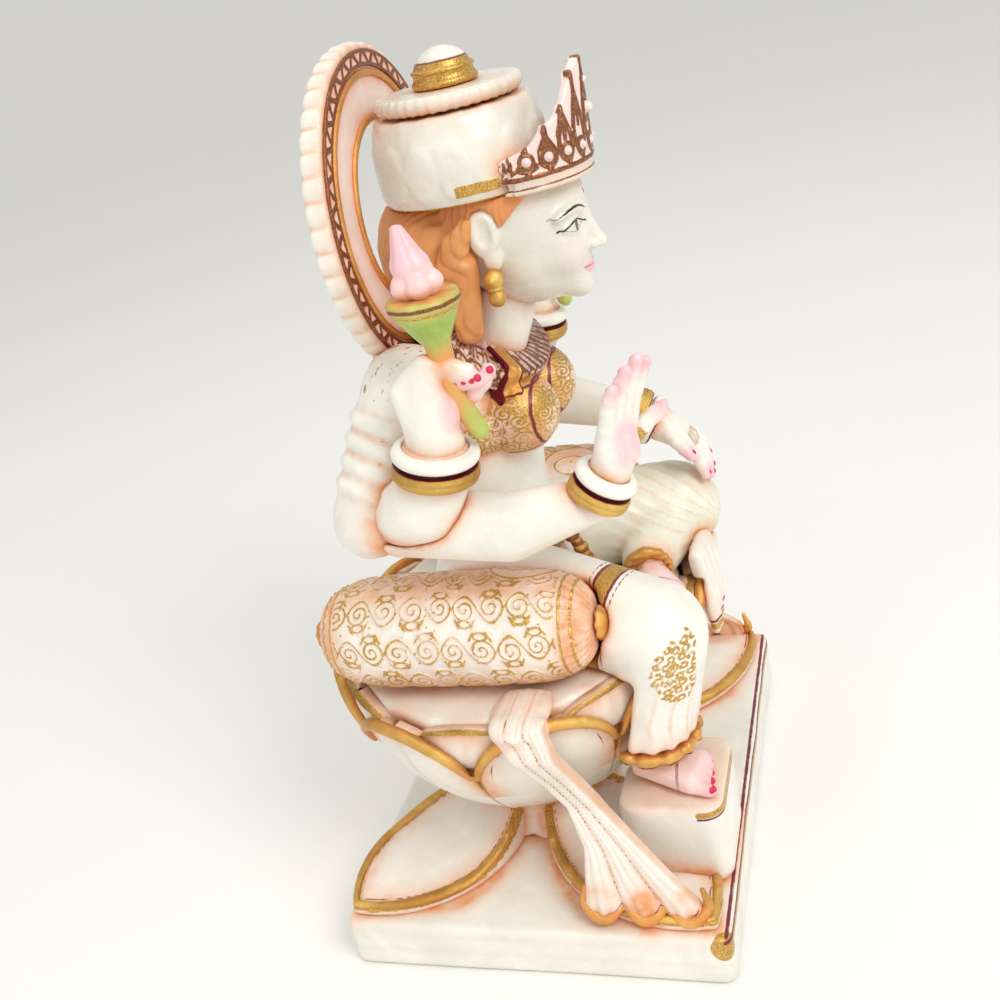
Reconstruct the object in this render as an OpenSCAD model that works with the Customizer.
// Seated four-armed goddess on a lotus, a carved and painted marble statue.
// Z is up, the figure faces -Y and its own right side is -X.
// The origin is the centre of the plinth's underside.

/* [Plinth] */
// Width of the plinth, side to side
plinth_w = 178; // [165:1:215]
// Depth of the plinth, front to back
plinth_d = 138; // [130:1:166]
// Height of the plinth
plinth_h = 20; // [12:1:30]
// Radius of the plinth's upright corners
plinth_corner = 4; // [1:0.5:8]

/* [Lotus throne] */
// Height of the neck between plinth and flower
neck_of_lotus_h = 20; // [12:1:30]
// Half width of that neck
neck_of_lotus_r = 46; // [36:1:52]
// Height of the open flower, up to the seat
flower_h = 57; // [46:1:70]
// Half width of the flower, side to side
flower_rx = 80; // [72:1:88]
// Half depth of the flower, front to back
flower_ry = 66; // [58:1:72]
// How far the flower's middle lies behind the plinth's middle
flower_back = 9; // [0:1:14]
// Petals in each of the two rows
petal_count = 8; // [6:1:10]
// Thickness of a petal
petal_t = 5; // [3:0.5:7]
// Width of the gilded roll along a petal's edge
petal_rim = 3; // [2:0.25:4]
// Thickness of the four petals that lie on the plinth
ground_petal_t = 5; // [3:0.5:8]

/* [Cushions] */
// Radius of the two bolsters beside the figure
bolster_r = 20; // [16:0.5:22]
// Length of a bolster, end to end
bolster_l = 98; // [80:1:110]
// Distance of a bolster's axis from the middle
bolster_x = 48; // [44:1:54]
// Radius of the button at each end of a bolster
button_r = 6; // [4:0.5:8]

/* [Figure] */
// Height from the seat to the shoulders
torso_h = 106; // [95:1:125]
// Half width across the shoulder joints
shoulder_x = 37; // [33:1:41]
// Radius of the upper arms
arm_r = 13; // [10:0.5:14]
// Distance of an elbow from the middle
elbow_x = 53; // [48:1:58]
// Height of an elbow above the seat
elbow_h = 66; // [58:1:76]
// Radius of the wrists of the front arms
wrist_r = 7; // [5.5:0.25:8.5]
// Radius of the wrists of the raised back arms
back_wrist_r = 10.5; // [8:0.25:12]
// How far a bracelet stands out from the wrist
bracelet_t = 3; // [2:0.25:4]
// Height of one bracelet along the wrist
bracelet_h = 5.5; // [4:0.25:7]
// Radius of the knees
knee_r = 18; // [15:0.5:20]
// Length of a foot
foot_l = 38; // [32:1:42]
// Thickness of a foot at the instep
foot_t = 12; // [9:0.5:15]
// Height of the block under the hanging foot
foot_rest_h = 32; // [24:1:44]

/* [Head and crown] */
// Height from the shoulders to the middle of the head
head_rise = 35; // [31:1:40]
// Half width of the head
head_rx = 21; // [18:0.5:23]
// Half depth of the head
head_ry = 27; // [23:0.5:30]
// Half height of the head
head_rz = 29; // [26:0.5:32]
// Radius of the crown's drum
crown_r = 28; // [24:0.5:30]
// Height of the crown's drum
crown_h = 28; // [22:1:34]
// Thickness of the flat rim on top of the crown
crown_rim_t = 5; // [3:0.5:7]
// Radius of the knob on top of the crown
knob_r = 10.5; // [7:0.5:13]
// Height of that knob
knob_h = 12; // [9:0.5:16]

/* [Halo] */
// Outer radius of the halo
halo_r = 52; // [46:1:58]
// Radius of the opening behind the head
halo_hole_r = 27; // [23:1:30]
// Thickness of the halo
halo_t = 7; // [5:0.5:10]
// Flutes around the halo's edge
flute_count = 44; // [30:1:60]
// How far the painted relief stands out of the halo
relief_t = 1.2; // [0.6:0.1:2]

/* [Hidden] */

// Levels of the throne and the figure
flower_z = plinth_h + neck_of_lotus_h;
seat_z = flower_z + flower_h;
shoulder_z = seat_z + torso_h;
head_z = shoulder_z + head_rise;
crown_z = head_z + 13;
crown_rim_z = crown_z + crown_h;
knob_z = crown_rim_z + crown_rim_t;
front_y = -plinth_d / 2;
tuck = 1;

// Where the trunk and the head stand, front to back
trunk_y = 8;
head_y = -19;
crown_y = -8;
halo_front_y = 19;
halo_z = head_z + 12;

// Places of the legs
bolster_z = seat_z + bolster_r;
bolster_y = 14;
knee_fit = 0.5;
right_hip = [-20, 8, seat_z + 19];
right_knee = [-38, front_y + knee_r + knee_fit, seat_z + 9];
left_hip = [20, 8, seat_z + 19];
left_knee = [38, front_y + knee_r + 3, seat_z + 16];
left_ankle = [4, front_y + 26, seat_z + 9];
foot_rest_top = plinth_h + foot_rest_h;
foot_tip = [-50, front_y + 2, foot_rest_top];
foot_heel = foot_tip + [5, foot_l - 6, 0];
right_shin_end = [foot_heel[0] + 3, foot_heel[1] - 10, foot_rest_top + foot_t];

// Places of the arms: elbows, wrists and the way each hand points
elbow_z = seat_z + elbow_h;
elbow = [-elbow_x, 31, elbow_z];
shoulder = [-shoulder_x, 14, shoulder_z - 3];
front_bend = [-57, -16, elbow_z - 4];
front_wrist = [-54, -44, elbow_z + 2];
front_way = unit([0.03, -0.55, 0.84]);
back_bend = [-61, 8, elbow_z + 8];
back_wrist = [-63, 1, elbow_z + 18];
back_way = unit([0, -0.22, 0.97]);
left_bend = [52, -6, elbow_z - 6];
left_wrist = [39, -38, elbow_z - 9];
left_way = unit([0, -0.84, -0.54]);

// Smoothness of large, middle and small round forms
fine = 20;
mid = 14;
small = 8;
tiny = 6;
round = 24;

// Colours
marble = "#f1efe6";
gold = "#c9a045";
copper = "#9a6242";
pink = "#f2b9c4";
green = "#a9bf5a";
amber = "#d9935a";
pearl = "#e6e4dc";

function unit(v) = v / norm(v);
function flip(p) = [-p[0], p[1], p[2]];
function ease(t) = (1 - cos(180 * t)) / 2;

// One carved, freeform solid
module carved() {
    resize([0, 0, 0]) children();
}

module ball(at, r, fn = mid) {
    translate(at) sphere(r = r, $fn = fn);
}

module egg(at, radii, fn = fine) {
    translate(at) scale(radii) sphere(r = 1, $fn = fn);
}

module limb(a, ra, b, rb, fn = mid) {
    hull() {
        ball(a, ra, fn);
        ball(b, rb, fn);
    }
}

module trail(points, radii, fn = small) {
    for (i = [0 : len(points) - 2])
        limb(points[i], radii[i], points[i + 1], radii[i + 1], fn);
}

// A rope with a round section swept along a path, with points a little apart
module rope(path, r, sides = 6) {
    last = len(path) - 1;
    function run(i) = unit(path[min(i + 1, last)] - path[max(i - 1, 0)]);
    function side_of(i) = unit(cross(run(i), abs(run(i)[2]) > 0.9 ? [1, 0, 0] : [0, 0, 1]));
    function rise_of(i) = cross(side_of(i), run(i));
    points = [
        for (i = [0 : last], k = [0 : sides - 1])
            path[i] + r * (side_of(i) * cos(k * 360 / sides) + rise_of(i) * sin(k * 360 / sides))
    ];
    walls = [
        for (i = [0 : last - 1], k = [0 : sides - 1])
            let (a = i * sides + k, b = i * sides + (k + 1) % sides)
            each [[a, b + sides, a + sides], [a, b, b + sides]]
    ];
    first_end = [for (k = [sides - 1 : -1 : 0]) k];
    last_end = [for (k = [0 : sides - 1]) last * sides + k];
    polyhedron(points, concat(walls, [first_end, last_end]));
}

// Stands a child's Z axis along v
module point_along(v) {
    rotate([0, acos(unit(v)[2]), atan2(v[1], v[0])]) children();
}

module both_sides() {
    children();
    mirror([1, 0, 0]) children();
}

// ---- Plinth ----

module plinth() {
    inner_w = plinth_w - 2 * plinth_corner;
    inner_d = plinth_d - 2 * plinth_corner;
    color(marble) linear_extrude(plinth_h) {
        square([plinth_w, inner_d], center = true);
        square([inner_w, plinth_d], center = true);
        for (sx = [-1, 1], sy = [-1, 1])
            translate([sx * inner_w / 2, sy * inner_d / 2]) circle(r = plinth_corner, $fn = 48);
    }
}

// ---- Lotus ----

// Half width of the flower at a height t from 0, at its foot, to 1, at the seat
function flower_share(t) = 0.62 + 0.38 * pow(sin(90 * t), 0.8);
function flower_point(az, t, out) = [
    (flower_rx * flower_share(t) - petal_t + out) * cos(az),
    flower_back + (flower_ry * flower_share(t) - petal_t + out) * sin(az),
    flower_z + t * flower_h
];

module flower_core(top = 1) {
    steps = 3;
    hull()
        for (i = [0 : steps]) {
            t = top * i / steps;
            translate([0, flower_back, flower_z + t * flower_h - (i == 0 ? 0 : tuck)])
                scale([flower_rx * flower_share(t) - petal_t, flower_ry * flower_share(t) - petal_t, 1])
                    cylinder(r = 1, h = tuck, $fn = round);
        }
}

// Half angle that a petal spans, at a share v of its way from foot to tip
function petal_spread(v, half) = half * (v < 0.55 ? 1 : sqrt(max(0.001, 1 - pow((v - 0.55) / 0.46, 2))));
function petal_point(az, half, foot, tip, u, v, out, flare) =
    flower_point(az + u * petal_spread(v, half), foot + v * (tip - foot), out + flare * v * v);

// A petal as a curved slab between an inner and an outer skin
module petal(az, half, foot, tip, flare, nv) {
    nu = 3;
    ring = (nu + 1) * (nv + 1);
    points = [
        for (side = [0, 1], j = [0 : nv], i = [0 : nu])
            petal_point(az, half, foot, tip, 2 * i / nu - 1, j / nv, side == 1 ? petal_t : -petal_sink,
                flare)
    ];
    function id(side, i, j) = side * ring + j * (nu + 1) + i;
    skins = [
        for (j = [0 : nv - 1], i = [0 : nu - 1]) each [
            [id(1, i, j), id(1, i, j + 1), id(1, i + 1, j + 1)],
            [id(1, i, j), id(1, i + 1, j + 1), id(1, i + 1, j)],
            [id(0, i, j), id(0, i + 1, j + 1), id(0, i, j + 1)],
            [id(0, i, j), id(0, i + 1, j), id(0, i + 1, j + 1)]
        ]
    ];
    ends = [
        for (i = [0 : nu - 1]) each [
            [id(0, i, 0), id(1, i, 0), id(1, i + 1, 0)],
            [id(0, i, 0), id(1, i + 1, 0), id(0, i + 1, 0)],
            [id(0, i, nv), id(1, i + 1, nv), id(1, i, nv)],
            [id(0, i, nv), id(0, i + 1, nv), id(1, i + 1, nv)]
        ]
    ];
    sides = [
        for (j = [0 : nv - 1]) each [
            [id(0, 0, j), id(0, 0, j + 1), id(1, 0, j + 1)],
            [id(0, 0, j), id(1, 0, j + 1), id(1, 0, j)],
            [id(0, nu, j), id(1, nu, j + 1), id(0, nu, j + 1)],
            [id(0, nu, j), id(1, nu, j), id(1, nu, j + 1)]
        ]
    ];
    polyhedron(points, concat(skins, ends, sides));
}

petal_sink = 4;
petal_step = 360 / petal_count;
petal_half = petal_step * 0.49;
outer_first = 90 + petal_step / 2;
outer_tip = 0.98;
inner_tip = 1.0;
petal_flare = 2;

// The whole open flower, petals and rims included
module flower_envelope() {
    steps = 3;
    out = petal_t + petal_flare + petal_rim / 2 + tuck;
    hull()
        for (i = [0 : steps]) {
            t = i / steps;
            translate([0, flower_back, flower_z + t * flower_h - (i == 0 ? 0 : tuck)])
                scale([
                    flower_rx * flower_share(t) - petal_t + out,
                    flower_ry * flower_share(t) - petal_t + out,
                    1
                ]) cylinder(r = 1, h = tuck, $fn = round);
        }
}

module outer_petal_row() {
    for (i = [0 : petal_count - 1])
        petal(outer_first + i * petal_step, petal_half, 0, outer_tip, petal_flare, 4);
}

module inner_petal_row() {
    for (i = [0 : petal_count - 1])
        petal(outer_first + (i + 0.5) * petal_step, petal_half * 0.8, 0.7, inner_tip, 0, 1);
}

module lotus_pod() {
    color(marble) carved() flower_core();
}

module outer_petals() {
    color(marble) carved() difference() {
        outer_petal_row();
        flower_core();
    }
}

module inner_petals() {
    color(marble) carved() difference() {
        inner_petal_row();
        flower_core();
        outer_petal_row();
        petal_rims_raw();
    }
}

module petal_rims_raw() {
    rows = [0.64, 0.84, 0.97];
    for (i = [0 : petal_count - 1]) {
        az = outer_first + i * petal_step;
        edge = concat(
            [for (v = rows) [-1, v]],
            [[0, 1]],
            [for (k = [len(rows) - 1 : -1 : 0]) [1, rows[k]]]
        );
        path = [for (e = edge) petal_point(az, petal_half, 0, outer_tip, e[0], e[1], petal_t, petal_flare)];
        rope(path, petal_rim / 2);
    }
}

module outer_petal_rims() {
    color(gold) carved() difference() {
        petal_rims_raw();
        outer_petal_row();
        flower_core();
    }
}

module lotus_neck_shape() {
    waist = neck_of_lotus_r - 6;
    depth_share = flower_ry / flower_rx;
    translate([0, flower_back, plinth_h]) scale([1, depth_share, 1]) rotate_extrude($fn = round)
        polygon([
            [0, 0],
            for (k = [0 : 4])
                [neck_of_lotus_r - (neck_of_lotus_r - waist) * sin(45 * k), neck_of_lotus_h * k / 4],
            [0, neck_of_lotus_h]
        ]);
}

module lotus_neck() {
    color(marble) carved() difference() {
        lotus_neck_shape();
        foot_rest_shape();
    }
}

// Four broad petals lie on the plinth and point at its corners
ground_inset = 3;
ground_rise = 15;
function ground_tip(sx, sy) = [sx * (plinth_w / 2 - ground_inset), sy * (plinth_d / 2 - ground_inset)];
ground_root = [neck_of_lotus_r - 18, 10];

// One edge of a petal on the plinth, from root to tip: side is 1 or -1
ground_steps = 5;
ground_half = 29;
function ground_root_at(sx, sy) = [sx * ground_root[0], flower_back + sy * ground_root[1]];
function ground_edge(sx, sy, side) =
    let (root = ground_root_at(sx, sy), run = ground_tip(sx, sy) - root, out = unit([-run[1], run[0]]))
    [
        for (k = [0 : ground_steps])
            root + run * k / ground_steps
                + out * side * ground_half * pow(sin(180 * ease(k / ground_steps)), 0.8)
    ];
function backwards(list) = [for (k = [len(list) - 1 : -1 : 0]) list[k]];

module ground_petal(sx, sy) {
    root = ground_root_at(sx, sy);
    hull() {
        translate([0, 0, plinth_h]) linear_extrude(ground_petal_t)
            polygon(concat(ground_edge(sx, sy, 1), backwards(ground_edge(sx, sy, -1))));
        translate([root[0], root[1], plinth_h]) cylinder(r = 12, h = ground_rise, $fn = mid);
    }
}

module ground_petals_raw() {
    both_sides() for (sy = [-1, 1]) ground_petal(-1, sy);
}

module ground_rims_raw() {
    lift = plinth_h + ground_petal_t;
    both_sides() for (sy = [-1, 1]) {
        outline = concat(ground_edge(-1, sy, 1), backwards(ground_edge(-1, sy, -1)));
        path = [
            for (k = [2 : len(outline) - 3])
                if (k != ground_steps + 1) [outline[k][0], outline[k][1], lift]
        ];
        rope(path, petal_rim / 2);
    }
}

module ground_petals() {
    color(marble) carved() difference() {
        ground_petals_raw();
        lotus_neck_shape();
        foot_rest_shape();
    }
}

module ground_petal_rims() {
    color(gold) carved() difference() {
        ground_rims_raw();
        ground_petals_raw();
        lotus_neck_shape();
        foot_rest_shape();
    }
}

// ---- Foot rest ----

module foot_rest_shape() {
    width = 40;
    depth = 36;
    round_r = 7;
    translate([foot_tip[0] + 6, front_y + depth / 2 + 1, plinth_h]) linear_extrude(foot_rest_h) {
        square([width, depth - 2 * round_r], center = true);
        square([width - 2 * round_r, depth], center = true);
        for (sx = [-1, 1], sy = [-1, 1])
            translate([sx * (width / 2 - round_r), sy * (depth / 2 - round_r)])
                circle(r = round_r, $fn = 32);
    }
}

module foot_rest() {
    color(marble) carved() difference() {
        foot_rest_shape();
        flower_envelope();
    }
}

// ---- Bolsters ----

// The profile runs from the flat seat of one button, over the round body, to the other
module bolster_shape() {
    half = bolster_l / 2;
    translate([-bolster_x, bolster_y, bolster_z]) rotate([90, 0, 0]) rotate_extrude($fn = 28)
        polygon([
            [0, -half],
            [button_r, -half],
            for (k = [-6 : 6])
                [button_r + (bolster_r - button_r) * pow(cos(k * 14), 0.5), half * sin(k * 13.5)],
            [button_r, half],
            [0, half]
        ]);
}

module right_bolster() {
    color(amber) bolster_shape();
}

module left_bolster() {
    color(amber) mirror([1, 0, 0]) bolster_shape();
}

module buttons_shape() {
    button_h = button_r * 0.6;
    for (s = [-1, 1])
        translate([-bolster_x, bolster_y + s * bolster_l / 2, bolster_z]) rotate([-90 * s, 0, 0])
            rotate_extrude($fn = 28)
                polygon([
                    [0, 0],
                    for (k = [0 : 6])
                        [button_r * cos(15 * k), button_h * sin(15 * k)]
                ]);
}

module bolster_buttons() {
    color(gold) both_sides() buttons_shape();
}

// ---- Sashes: each falls over the flower's edge and fans out on the plinth ----

sash_w = 9;
sash_t = 5;
fan_w = 46;
sash_top = [-flower_rx + 3, -6, seat_z + 4];
sash_over = [-flower_rx - 1.5, -15, seat_z - 10];
sash_waist = [-flower_rx + 12, -22, flower_z + 20];
fan_end = [-plinth_w / 2 + 6, front_y + 27, plinth_h + 7];

module sash_shape() {
    hull() {
        translate(sash_top) scale([1, 1.6, 1]) sphere(r = sash_w * 0.6, $fn = 12);
        translate(sash_over) scale([1, 1.3, 1]) sphere(r = sash_w * 0.6, $fn = 12);
    }
    hull() {
        translate(sash_over) scale([1, 1.3, 1]) sphere(r = sash_w * 0.6, $fn = 12);
        translate(sash_waist) scale([1, 1.2, 1]) sphere(r = sash_w * 0.55, $fn = 12);
    }
    for (k = [-1, 0, 1])
        hull() {
            translate(sash_waist) sphere(r = sash_w * 0.5, $fn = 12);
            translate(fan_end + [k == 0 ? -2 : 2, k * fan_w / 3, 0]) sphere(r = sash_t * 1.15, $fn = 12);
            translate(fan_end + [k == 0 ? 0 : 3, (k + 0.45) * fan_w / 3, -1])
                sphere(r = sash_t * 0.9, $fn = 12);
        }
}

module hem_shape() {
    for (k = [-1, 0, 1])
        translate(fan_end + [k == 0 ? -3.5 : 0.5, k * fan_w / 3, 0])
            rotate([0, 90, 0]) cylinder(r = sash_t * 1.4, h = 4, $fn = 16);
}

module sash_only() {
    carved() difference() {
        sash_shape();
        hem_shape();
        flower_envelope();
        lotus_neck_shape();
        foot_rest_shape();
        ground_petals_raw();
        ground_rims_raw();
        bolster_shape();
        translate([0, 0, plinth_h / 2]) cube([2 * plinth_w, 2 * plinth_d, plinth_h], center = true);
    }
}

module right_sash() {
    color(marble) sash_only();
}

module left_sash() {
    color(marble) mirror([1, 0, 0]) sash_only();
}

module sash_hems() {
    color(gold) both_sides() carved() difference() {
        hem_shape();
        ground_petals_raw();
        ground_rims_raw();
        translate([0, 0, plinth_h / 2]) cube([2 * plinth_w, 2 * plinth_d, plinth_h], center = true);
    }
}

// ---- Legs and skirt ----

module hips_shape() {
    hull() {
        egg([0, trunk_y + 2, seat_z + 18], [32, 26, 20]);
        translate([0, trunk_y + 2, seat_z]) scale([30, 24, 1]) cylinder(r = 1, h = 4, $fn = fine);
    }
}

module below_seat() {
    translate([0, 0, seat_z / 2]) cube([2 * plinth_w, 2 * plinth_d, seat_z], center = true);
}

module hips() {
    color(marble) carved() difference() {
        hips_shape();
        both_sides() bolster_shape();
        below_seat();
    }
}

module right_leg_shape() {
    limb(right_hip, 20, right_knee, knee_r, fine);
    hull() {
        ball(right_knee, knee_r, fine);
        translate(right_shin_end + [0, 0, 6]) scale([17, 15, 1]) cylinder(r = 1, h = 2, $fn = fine);
    }
}

module right_leg() {
    color(marble) carved() difference() {
        right_leg_shape();
        hips_shape();
        torso_shape();
        both_sides() bolster_shape();
        buttons_shape();
        flower_envelope();
    }
}

module hem_ring_shape() {
    translate(right_shin_end + [0, 0, 2]) scale([18.5, 16.5, 1]) cylinder(r = 1, h = 4, $fn = fine);
}

module right_leg_hem() {
    color(gold) carved() difference() {
        hem_ring_shape();
        flower_envelope();
        foot_shape();
    }
}

module left_leg_shape() {
    limb(left_hip, 19, left_knee, knee_r, fine);
    limb(left_knee, knee_r - 3, left_ankle + [6, 2, 0], 10, fine);
}

module left_leg() {
    color(marble) carved() difference() {
        left_leg_shape();
        hips_shape();
        torso_shape();
        right_leg_shape();
        both_sides() bolster_shape();
        mirror([1, 0, 0]) buttons_shape();
        flower_envelope();
    }
}

module left_drape_shape() {
    hull() {
        ball(left_knee + [-2, 6 - knee_r, -4], 3, small);
        ball(left_knee + [-26, 8 - knee_r, -8], 3, small);
        ball([10, front_y + 7, seat_z - 22], 2.5, small);
        ball([26, front_y + 7, seat_z - 16], 2.5, small);
    }
}

module left_drape() {
    color(marble) carved() difference() {
        left_drape_shape();
        left_leg_shape();
        right_leg_shape();
        flower_envelope();
    }
}

// ---- Feet ----

module foot_body(heel, tip, side) {
    way = unit(tip - heel);
    out = [way[1], -way[0], 0] * side;
    ball_at = tip - way * 9;
    hull() {
        ball(heel + way * 6 + [0, 0, 6], 6, small);
        ball(heel + way * 12 + [0, 0, foot_t - 6], 6, small);
        ball(ball_at + out * 6 + [0, 0, 4], 4, small);
        ball(ball_at - out * 6 + [0, 0, 4.5], 4.5, small);
    }
    for (k = [0 : 4])
        limb(ball_at + out * (7 - 3.6 * k) + [0, 0, 3], 2.2,
            ball_at + out * (9 - 4.1 * k) + way * (2 + 1.3 * k) + [0, 0, 2.4 + 0.1 * k],
            1.9 + 0.15 * k, tiny);
}

module foot_shape() {
    foot_body(foot_heel, foot_tip, -1);
}

module right_foot() {
    color(pink) carved() foot_shape();
}

left_toes = [-20, front_y + 19, seat_z + 2];
left_heel = [6, front_y + 27, seat_z + 2];

module left_foot_shape() {
    foot_body(left_heel, left_toes, 1);
}

module left_foot() {
    color(pink) carved() difference() {
        left_foot_shape();
        left_leg_shape();
        right_leg_shape();
        left_drape_shape();
        flower_envelope();
        below_seat();
    }
}

module anklet_shape() {
    translate(right_shin_end + [0, 0, -2.5]) scale([11, 9.5, 1]) cylinder(r = 1, h = 4.5, $fn = mid);
}

module anklets() {
    color(gold) carved() {
        difference() {
            anklet_shape();
            foot_shape();
            flower_envelope();
        }
        difference() {
            translate(left_ankle + [-1, 1, 0]) point_along([-0.95, -0.3, -0.1])
                cylinder(r = 9.5, h = 4, center = true, $fn = mid);
            left_foot_shape();
            left_leg_shape();
            right_leg_shape();
            left_drape_shape();
            hips_shape();
            flower_envelope();
            below_seat();
        }
    }
}

// ---- Trunk and clothes ----

waist_z = seat_z + 52;
bust_z = seat_z + 82;

module torso_shape() {
    hull() {
        egg([0, trunk_y, seat_z + 24], [27, 22, 12]);
        egg([0, trunk_y - 2, waist_z], [22, 18, 10]);
    }
    hull() {
        egg([0, trunk_y - 2, waist_z], [22, 18, 10]);
        egg([0, trunk_y - 1, bust_z], [30, 22, 14]);
    }
    hull() {
        egg([0, trunk_y - 1, bust_z], [30, 22, 14]);
        egg([0, trunk_y + 1, shoulder_z - 6], [36, 17, 12]);
    }
}

module neck_shape() {
    limb([0, trunk_y - 12, shoulder_z - 4], 11.5, [0, head_y + 4, head_z - 16], 11, mid);
}

module torso() {
    color(marble) carved() difference() {
        union() {
            torso_shape();
            neck_shape();
        }
        hips_shape();
        both_sides() bolster_shape();
        head_shape();
        halo_keepout();
    }
}

module blouse_shape() {
    back = trunk_y + 4;
    intersection() {
        egg([0, trunk_y - 3, bust_z - 1], [32, 24, 17]);
        translate([0, back - flower_ry, bust_z]) cube(2 * flower_ry, center = true);
    }
    both_sides() egg([-13, trunk_y - 19, bust_z], [14, 15, 14], mid);
}

module blouse() {
    color(gold) carved() difference() {
        blouse_shape();
        torso_shape();
    }
}

module belt_shape() {
    translate([0, trunk_y - 1, seat_z + 34]) rotate([10, 0, 0]) scale([28, 23.5, 1])
        cylinder(r = 1, h = 9, center = true, $fn = fine);
}

module belt() {
    color(gold) carved() difference() {
        belt_shape();
        torso_shape();
        hips_shape();
        right_leg_shape();
        left_leg_shape();
        both_sides() bolster_shape();
    }
}

module tassel_shape() {
    top = [-8, trunk_y - 23, seat_z + 36];
    foot = [-6, trunk_y - 32, seat_z + 18];
    trail([top, (top + foot) / 2 + [1, -2, 1], foot], [3.2, 2.6, 3.6], small);
}

module tassel() {
    color(copper) carved() difference() {
        tassel_shape();
        belt_shape();
        torso_shape();
        hips_shape();
        right_leg_shape();
        left_leg_shape();
    }
}

module necklace_shape() {
    translate([0, trunk_y - 12, shoulder_z - 2]) rotate([38, 0, 0]) scale([27, 20, 1])
        cylinder(r = 1, h = 8, center = true, $fn = fine);
}

module necklace() {
    color(copper) carved() difference() {
        necklace_shape();
        torso_shape();
        neck_shape();
        head_shape();
        blouse_shape();
        hair_shape();
        halo_keepout();
    }
}

module strap_shape() {
    translate([-19, trunk_y - 14, bust_z + 6]) rotate([-6, -8, 18]) scale([5, 16, 20])
        sphere(r = 1, $fn = mid);
}

module shoulder_strap() {
    color(gold) carved() difference() {
        strap_shape();
        torso_shape();
        blouse_shape();
        necklace_shape();
        sleeve_shape();
    }
}

// ---- Arms ----

module sleeve_shape() {
    rolls = 4;
    limb(shoulder, arm_r + 2, elbow, arm_r);
    for (k = [1 : rolls])
        translate(shoulder + (elbow - shoulder) * (0.12 + 0.66 * k / rolls)) point_along(elbow - shoulder)
            scale([1, 1, 0.32]) sphere(r = arm_r + 4.5 - 0.5 * k, $fn = 12);
}

module sleeve_only() {
    carved() difference() {
        sleeve_shape();
        torso_shape();
        blouse_shape();
        halo_keepout();
        wrist_space(back_wrist, back_way, back_wrist_r);
    }
}

module right_sleeve() {
    color(marble) sleeve_only();
}

module left_sleeve() {
    color(marble) mirror([1, 0, 0]) sleeve_only();
}

// A forearm ends in a round wrist that the bracelets fit
module forearm_shape(points, radii, wrist, way, r) {
    trail(concat(points, [wrist]), concat(radii, [r]), mid);
    translate(wrist) point_along(way) cylinder(r = r, h = 2 * bracelet_h, $fn = mid);
}

module right_front_shape() {
    forearm_shape([elbow, front_bend], [arm_r - 1, arm_r - 2], front_wrist, front_way, wrist_r);
}

module back_arm_shape() {
    forearm_shape([elbow + [0, -10, 2], back_bend], [arm_r - 1, arm_r - 1], back_wrist, back_way,
        back_wrist_r);
}

module left_front_shape() {
    forearm_shape([flip(elbow), left_bend], [arm_r - 1, arm_r - 3], left_wrist, left_way, wrist_r);
}

module right_front_forearm() {
    color(marble) carved() difference() {
        right_front_shape();
        sleeve_shape();
        torso_shape();
        blouse_shape();
        belt_shape();
        bolster_shape();
        back_arm_shape();
        wrist_space(front_wrist, front_way, wrist_r);
    }
}

module back_forearm_only() {
    carved() difference() {
        back_arm_shape();
        sleeve_shape();
        blouse_shape();
        bolster_shape();
        wrist_space(back_wrist, back_way, back_wrist_r);
    }
}

module right_back_forearm() {
    color(marble) back_forearm_only();
}

module left_back_forearm() {
    color(marble) mirror([1, 0, 0]) back_forearm_only();
}

module left_front_forearm() {
    color(marble) carved() difference() {
        left_front_shape();
        mirror([1, 0, 0]) sleeve_shape();
        torso_shape();
        blouse_shape();
        belt_shape();
        mirror([1, 0, 0]) bolster_shape();
        mirror([1, 0, 0]) back_arm_shape();
        left_leg_shape();
        wrist_space(left_wrist, left_way, wrist_r);
    }
}

// The space round a wrist that its two rings take up
module wrist_space(wrist, way, r) {
    translate(wrist) point_along(way) difference() {
        cylinder(r = r + bracelet_t, h = 2 * bracelet_h, $fn = 40);
        translate([0, 0, -tuck]) cylinder(r = r, h = 2 * bracelet_h + 2 * tuck, $fn = 40);
    }
}

// Rings on a wrist: a gilded bracelet, then a white bangle nearer the hand
module wrist_ring(wrist, way, r, offset) {
    translate(wrist + way * offset) point_along(way) rotate_extrude($fn = 40)
        translate([r, 0]) square([bracelet_t, bracelet_h - 0.5]);
}

module gold_bracelets() {
    color(gold) {
        wrist_ring(front_wrist, front_way, wrist_r, 0.25);
        wrist_ring(left_wrist, left_way, wrist_r, 0.25);
        both_sides() wrist_ring(back_wrist, back_way, back_wrist_r, 0.25);
    }
}

module white_bangles() {
    color(marble) {
        wrist_ring(front_wrist, front_way, wrist_r, bracelet_h + 0.25);
        wrist_ring(left_wrist, left_way, wrist_r, bracelet_h + 0.25);
        both_sides() wrist_ring(back_wrist, back_way, back_wrist_r, bracelet_h + 0.25);
    }
}

// ---- Hands ----

// A finger from its knuckle, bending by a turn at each of its two joints
module finger(at, way, bend, length, r) {
    function turned(v, a) = v * cos(a) + bend * sin(a);
    first = at + turned(way, 0) * length * 0.45;
    second = first + turned(way, 28) * length * 0.3;
    tip = second + turned(way, 56) * length * 0.25;
    trail([at, first, second, tip], [r, r * 0.95, r * 0.88, r * 0.72], tiny);
}

module straight_finger(at, way, length, r) {
    limb(at, r, at + way * length, r * 0.75, tiny);
}

front_palm = front_wrist + front_way * 2 * bracelet_h;
palm_up = unit([0.03, -0.30, 0.95]);
palm_side = [0.9, -0.42, 0];

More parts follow.
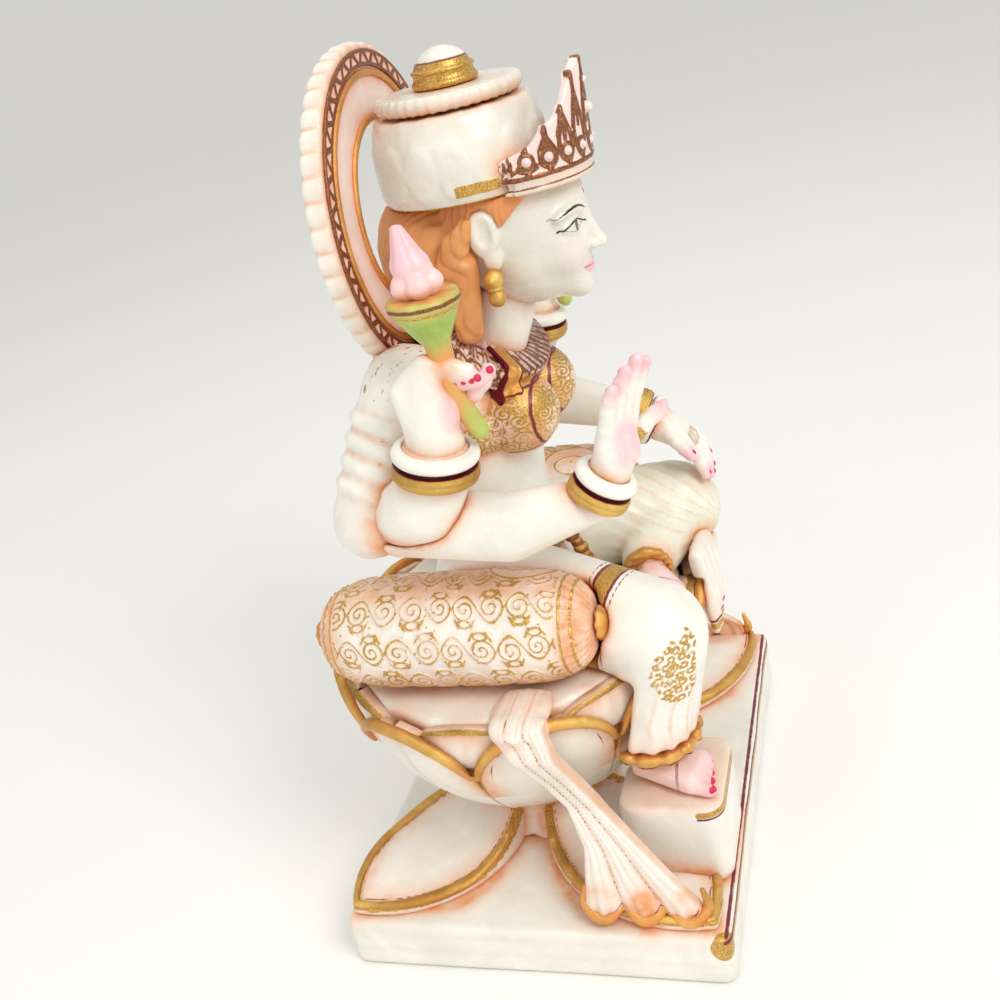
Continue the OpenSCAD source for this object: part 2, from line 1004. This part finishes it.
module right_front_hand() {
    palm_top = front_palm + palm_up * 18;
    color(pink) carved() {
        hull() {
            translate(front_palm) point_along(front_way) cylinder(r = wrist_r - 0.5, h = 1, $fn = mid);
            ball(palm_top + palm_side * 6, 4.2, small);
            ball(palm_top - palm_side * 6, 4.2, small);
            ball(front_palm + palm_up * 7 + palm_side * 7, 4.5, small);
        }
        for (k = [0 : 3])
            straight_finger(palm_top + palm_side * (6 - 4 * k), unit(palm_up + palm_side * 0.05 * (1.5 - k)),
                [15, 17, 15, 12][k], 2.4);
        straight_finger(front_palm + palm_up * 9 + palm_side * 10, unit(palm_up + palm_side * 0.55), 13, 2.6);
    }
}

back_palm = back_wrist + back_way * 2 * bracelet_h;

module back_hand_shape() {
    grip = back_palm + [0, -2, 14];
    hull() {
        translate(back_palm) point_along(back_way) cylinder(r = back_wrist_r - 0.5, h = 1, $fn = mid);
        ball(grip + [0, 8, 2], 5.5, small);
        ball(grip + [0, -6, 6], 5, small);
        ball(grip + [2, 4, 10], 4.5, small);
    }
    for (k = [0 : 3])
        finger(grip + [-1, 8 - 3 * k, 5 + 2.6 * k], unit([0.1, -0.75, 0.35 - 0.15 * k]), [0.2, -0.35, -0.9],
            19 - k, 3);
    finger(grip + [4, -6, -4], unit([0.2, -0.85, 0.5]), [-0.4, -0.2, 0.8], 15, 3.2);
}

module back_hand_only() {
    carved() difference() {
        back_hand_shape();
        lotus_stem_shape();
    }
}

module right_back_hand() {
    color(pink) back_hand_only();
}

module left_back_hand() {
    color(pink) mirror([1, 0, 0]) back_hand_only();
}

left_palm = left_wrist + left_way * 2 * bracelet_h;

module left_front_hand() {
    tip_way = unit([0.0, -0.8, -0.6]);
    palm_end = left_palm + tip_way * 13;
    color(pink) carved() difference() {
        union() {
            hull() {
                translate(left_palm) point_along(left_way)
                    cylinder(r = wrist_r - 0.5, h = 1, $fn = mid);
                ball(palm_end + [7, 0, 0], 4, small);
                ball(palm_end - [7, 0, 0], 4, small);
            }
            for (k = [0 : 3])
                finger(palm_end + [7 - 4.6 * k, 0, 0], unit([0, -0.6, -0.8]), [0, 0.3, -0.95],
                    [10, 13, 14, 12][k], 2.5);
            straight_finger(left_palm + [-6, -3, -2], unit([-0.6, -0.7, -0.5]), 12, 2.7);
        }
        left_leg_shape();
        front_block_gap();
    }
}

// Nothing reaches past the front of the block that the figure is carved from
module front_block_gap() {
    translate([0, front_y - plinth_d / 2, shoulder_z / 2])
        cube([2 * plinth_w, plinth_d, 2 * shoulder_z], center = true);
}

// ---- Lotus flowers in the raised hands ----

flower_foot = back_palm + [1, -8, 34];
bud_h = 34;

module lotus_stem_shape() {
    trail([back_palm + [3, -14, 2], back_palm + [2, -9, 14], flower_foot], [3, 3.4, 4.5], small);
    hull() {
        ball(flower_foot, 5, 14);
        translate(flower_foot + [0, 1, 9]) scale([11, 11, 1]) cylinder(r = 1, h = 2, $fn = mid);
    }
}

module bud_shape() {
    hull() {
        translate(flower_foot + [0, 1, 11]) cylinder(r = 9, h = 2, $fn = mid);
        egg(flower_foot + [0, 3, bud_h - 13], [7, 8, 9], 14);
        ball(flower_foot + [0, 4, bud_h - 3], 3, small);
    }
}

module lotus_stem_only() {
    carved() lotus_stem_shape();
}

module right_lotus_stem() {
    color(green) lotus_stem_only();
}

module left_lotus_stem() {
    color(green) mirror([1, 0, 0]) lotus_stem_only();
}

module lotus_bud_only() {
    carved() bud_shape();
}

module right_lotus_bud() {
    color(pink) lotus_bud_only();
}

module left_lotus_bud() {
    color(pink) mirror([1, 0, 0]) lotus_bud_only();
}

// ---- Head ----

module head_shape() {
    hull() {
        egg([0, head_y, head_z + 4], [head_rx, head_ry, head_rz - 4]);
        egg([0, head_y - 8, head_z - 10], [head_rx * 0.72, head_ry * 0.62, head_rz * 0.55]);
    }
}

module ear_shape() {
    hull() {
        egg([-head_rx, head_y + 3, head_z + 5], [2.4, 4.5, 6], 12);
        egg([-head_rx, head_y + 2, head_z - 4], [2, 3, 4], 12);
    }
}

module head() {
    color(pearl) carved() difference() {
        union() {
            head_shape();
            both_sides() ear_shape();
        }
        crown_space();
    }
}

module hair_shape() {
    hull() {
        egg([0, 6, head_z - 2], [head_rx + 3, 20, 22]);
        egg([0, 8, head_z - 22], [head_rx - 1, 15, 12]);
    }
    lock_r = 5;
    both_sides()
        limb([-head_rx - 1, head_y + 11, head_z - 6], lock_r,
            [-head_rx, head_y + 14, head_z - 26], lock_r, small);
}

module hair() {
    color(amber) carved() difference() {
        hair_shape();
        head_shape();
        both_sides() ear_shape();
        neck_shape();
        torso_shape();
        crown_space();
        halo_keepout();
    }
}

module earrings_shape() {
    ball([-head_rx - 1.5, head_y + 2, head_z - 10.5], 3.4, mid);
    ball([-head_rx - 1.5, head_y + 2, head_z - 16.5], 3.0, mid);
}

module earrings() {
    color(gold) both_sides() carved() difference() {
        earrings_shape();
        head_shape();
        ear_shape();
    }
}

// ---- Crown ----

crown_rim_in = 4.5;
crown_fit = 0.05;

module crown_space() {
    translate([0, crown_y, crown_z]) cylinder(r = crown_r, h = 2 * crown_h, $fn = 48);
}

module crown_drum() {
    shoulder_r = crown_r - 4;
    color(pearl) translate([0, crown_y, crown_z]) rotate_extrude($fn = 48)
        polygon([
            [0, 0],
            [crown_r - 1.5, 0],
            [crown_r, crown_h * 0.15],
            [crown_r, crown_h * 0.45],
            for (k = [0 : 5])
                [shoulder_r + (crown_r - shoulder_r) * cos(18 * k), crown_h * (0.45 + 0.55 * sin(18 * k))],
            [0, crown_h]
        ]);
}

module crown_rim() {
    rim_r = crown_r - crown_rim_in;
    color(pearl) translate([0, crown_y, crown_rim_z]) rotate_extrude($fn = 48)
        polygon([
            [0, 0],
            [rim_r - 1.5, 0],
            [rim_r, crown_rim_t * 0.4],
            [rim_r, crown_rim_t * 0.7],
            [rim_r - 1, crown_rim_t],
            [0, crown_rim_t]
        ]);
}

module crown_knob() {
    color(gold) translate([0, crown_y, knob_z]) rotate_extrude($fn = 40)
        polygon([
            [0, 0],
            [knob_r, 0],
            [knob_r, knob_h * 0.15],
            for (k = [0 : 6])
                [knob_r * 0.94 * cos(15 * k), knob_h * (0.25 + 0.75 * sin(15 * k))]
        ]);
}

// A pointed plate over the forehead, filled in behind as far as the drum
tiara_r = head_rx + 2;
tiara_y = head_y - head_ry + head_rx - 1;
tiara_t = 3.5;
tiara_span = 80;
tiara_low = 11;
tiara_peak = 33;
tiara_lean = 1.5;

// Height of the plate at a share s from -1, at one temple, to 1, at the other
function tiara_top(s) =
    tiara_low + (tiara_peak - tiara_low) * pow(1 - abs(s), 1.7) + 4 * abs(sin(450 * s)) * (1 - abs(s));

module tiara_piece(s) {
    lean = tiara_lean * pow(1 - abs(s), 2);
    for (z = [0, tiara_top(s)])
        translate([0, tiara_y, crown_z]) rotate([0, 0, -90 + s * tiara_span])
            translate([tiara_r - tiara_t + lean * z / tiara_peak, -1, z]) cube([tiara_t, 2, 1]);
}

module tiara() {
    steps = 10;
    color(copper) carved() difference() {
        union() {
            for (k = [0 : steps - 1])
                hull() {
                    tiara_piece(2 * k / steps - 1);
                    tiara_piece(2 * (k + 1) / steps - 1);
                }
            translate([0, tiara_y, crown_z]) cylinder(r = tiara_r - 1, h = tiara_low, $fn = round);
        }
        crown_space_drum();
        head_shape();
        hair_shape();
    }
}

module crown_space_drum() {
    translate([0, crown_y, crown_z - tuck]) cylinder(r = crown_r + crown_fit, h = crown_h + tuck, $fn = 48);
    translate([0, crown_y, crown_rim_z - tuck])
        cylinder(r = crown_r - crown_rim_in + crown_fit, h = crown_rim_t + 2 * tuck, $fn = 48);
}

// ---- Halo ----

// The space behind the head that the halo and its relief take up
module halo_keepout() {
    depth = halo_t + relief_t;
    translate([0, halo_front_y - relief_t, halo_z]) rotate([-90, 0, 0]) difference() {
        cylinder(r = halo_r, h = depth, $fn = 64);
        translate([0, 0, -tuck]) cylinder(r = halo_hole_r, h = depth + 2 * tuck, $fn = 48);
    }
}

module halo_ring(inner, outer, out) {
    translate([0, halo_front_y - out, halo_z]) rotate([-90, 0, 0]) rotate_extrude($fn = 64)
        translate([inner, 0]) square([outer - inner, out]);
}

module halo() {
    flute_r = PI * halo_r / flute_count;
    flute_proud = 0.35 * flute_r;
    color(marble) translate([0, halo_front_y + halo_t, halo_z]) rotate([90, 0, 0])
        linear_extrude(halo_t) difference() {
            union() {
                circle(r = halo_r - flute_proud, $fn = 96);
                for (k = [0 : flute_count - 1])
                    rotate(k * 360 / flute_count) translate([halo_r - flute_r, 0])
                        circle(r = flute_r, $fn = 16);
            }
            circle(r = halo_hole_r, $fn = 96);
        }
}

// The halo's painted relief, from its edge inwards: a toothed band, then a gold ring
zigzag_out = halo_r - 2.5;
zigzag_in = halo_r - 8;
ring_w = 3;
ring_fit = 0.3;

module halo_zigzag() {
    teeth = 36;
    border = 1;
    tooth_foot = 1.2;
    tooth_tip = 2.9;
    color(copper) translate([0, halo_front_y, halo_z]) rotate([90, 0, 0]) linear_extrude(relief_t)
        difference() {
            circle(r = zigzag_out, $fn = 96);
            circle(r = zigzag_in, $fn = 96);
            for (k = [0 : teeth - 1])
                rotate(k * 360 / teeth) polygon([
                    [zigzag_in + border, -tooth_foot],
                    [zigzag_in + border, tooth_foot],
                    [zigzag_out - border, tooth_tip],
                    [zigzag_out - border, -tooth_tip]
                ]);
        }
}

module halo_gold_rings() {
    color(gold) {
        halo_ring(zigzag_in - ring_fit - ring_w, zigzag_in - ring_fit, relief_t);
        halo_ring(halo_hole_r + ring_fit, halo_hole_r + ring_fit + ring_w, relief_t);
    }
}

plinth();
lotus_neck();
ground_petals();
ground_petal_rims();
lotus_pod();
inner_petals();
outer_petals();
outer_petal_rims();
foot_rest();
right_bolster();
left_bolster();
bolster_buttons();
right_sash();
left_sash();
sash_hems();
hips();
right_leg();
right_leg_hem();
left_leg();
left_drape();
right_foot();
left_foot();
anklets();
torso();
blouse();
belt();
tassel();
necklace();
shoulder_strap();
right_sleeve();
left_sleeve();
right_front_forearm();
right_back_forearm();
left_front_forearm();
left_back_forearm();
right_front_hand();
right_back_hand();
left_front_hand();
left_back_hand();
gold_bracelets();
white_bangles();
right_lotus_stem();
left_lotus_stem();
right_lotus_bud();
left_lotus_bud();
head();
hair();
earrings();
crown_drum();
crown_rim();
crown_knob();
tiara();
halo();
halo_zigzag();
halo_gold_rings();
